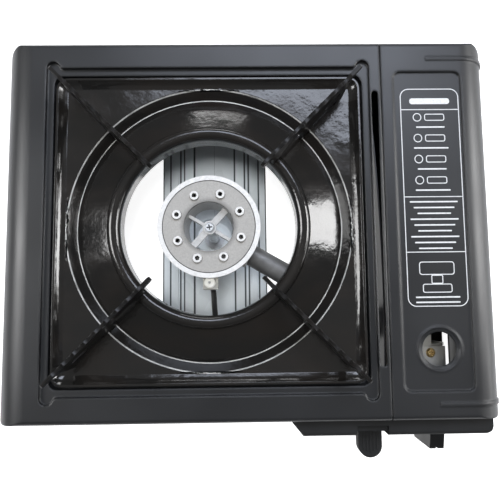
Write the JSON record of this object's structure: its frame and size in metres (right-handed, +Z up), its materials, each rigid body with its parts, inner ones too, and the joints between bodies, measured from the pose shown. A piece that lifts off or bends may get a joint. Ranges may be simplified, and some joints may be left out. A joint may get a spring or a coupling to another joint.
{
  "type": "butane cassette stove",
  "caption": "Table-top gas stove with a cartridge bay under a hinged cover, a lift-out drip tray with pan supports, a gas knob and a cartridge lock lever.",
  "frame": {"origin": "on the table, under the middle of the stove's overall box", "axes": "+X towards the cartridge side, +Y towards the back, +Z up"},
  "size_m": [0.3409, 0.2903, 0.112],
  "materials": {
    "painted_steel": "satin charcoal paint on pressed steel",
    "painted_cover": "satin charcoal paint on pressed steel",
    "black_enamel": "glossy black-brown enamel on steel",
    "galvanised_steel": "bare galvanised sheet",
    "zinc_steel": "zinc-plated steel",
    "burner_casting": "bead-blasted casting",
    "burner_plate": "matt grey sintered plate",
    "tube_steel": "drawn steel tube",
    "regulator_casting": "die casting",
    "brass": "turned brass",
    "white_ceramic": "glazed white ceramic",
    "panel_plastic": "fine-grained dark plastic",
    "knob_plastic": "satin dark plastic",
    "nylon": "natural nylon",
    "black_plastic": "black plastic",
    "lead_sleeve": "black sleeve",
    "black_rubber": "black rubber"
  },
  "bodies": {
    "body": {"body_shell": "painted_steel", "partition": "painted_steel", "bay_floor": "painted_steel", "base_plate": "galvanised_steel", "base_screws": "zinc_steel", "foot_front_left": "black_rubber", "foot_front_right": "black_rubber", "foot_back_left": "black_rubber", "foot_back_right": "black_rubber", "burner_post": "zinc_steel", "burner_body": "burner_casting", "burner_cap": "burner_plate", "burner_screw": "zinc_steel", "post_screw": "zinc_steel", "mixing_tube": "tube_steel", "electrode_bracket": "zinc_steel", "bracket_screw": "zinc_steel", "electrode_ceramic": "white_ceramic", "electrode_pin": "zinc_steel", "igniter_lead": "lead_sleeve", "lead_clips": "zinc_steel", "igniter_unit": "black_plastic", "regulator_body": "regulator_casting", "regulator_cap": "zinc_steel", "regulator_bracket": "zinc_steel", "regulator_screws": "brass", "gas_jet": "brass", "inlet_seat": "brass", "nozzle_seal": "black_rubber", "locating_plate": "zinc_steel", "control_panel": "panel_plastic", "panel_screws": "zinc_steel", "lever_bracket": "zinc_steel", "shaft_bearing": "zinc_steel", "clamp_pins": "zinc_steel", "hinge_pins": "zinc_steel"},
    "tray": {"drip_tray": "black_enamel", "support_front_left": "black_enamel", "support_front_right": "black_enamel", "support_back_left": "black_enamel", "support_back_right": "black_enamel"},
    "cover": {"cartridge_cover": "painted_cover"},
    "gas_control": {"knob": "knob_plastic", "valve_spindle": "zinc_steel", "spindle_cam": "nylon"},
    "plunger": {"igniter_plunger": "brass"},
    "lock_lever": {"lever_tab": "panel_plastic", "lever_arm": "zinc_steel", "lever_shaft": "zinc_steel"},
    "clamp": {"cartridge_clamp": "zinc_steel"}
  },
  "joints": [
    {"name": "tray_lift", "type": "slide", "parent": "body", "child": "tray", "axis": [0, 0, 1], "range_m": [0, 0.06]},
    {"name": "cover_hinge", "type": "hinge", "parent": "body", "child": "cover", "pos_m": [0.157, 0.015, 0.017], "axis": [0, 1, 0], "range_deg": [0, 90]},
    {"name": "gas_knob", "type": "hinge", "parent": "body", "child": "gas_control", "pos_m": [0.132, -0.1075, 0.035], "axis": [0, -1, 0], "range_deg": [0, 115]},
    {"name": "igniter_push", "type": "slide", "parent": "body", "child": "plunger", "axis": [-1, 0, 0], "range_m": [0, 0.004]},
    {"name": "lock_lever", "type": "hinge", "parent": "body", "child": "lock_lever", "pos_m": [0.0755, -0.097, 0.055], "axis": [1, 0, 0], "range_deg": [0, 16]},
    {"name": "clamp_slide", "type": "slide", "parent": "body", "child": "clamp", "axis": [0, -1, 0], "range_m": [0, 0.00331]}
  ],
  "couplings": [
    {"joint": "igniter_push", "follows": "gas_knob", "m_per_rad": 0.001992},
    {"joint": "clamp_slide", "follows": "lock_lever", "m_per_rad": 0.01185}
  ]
}
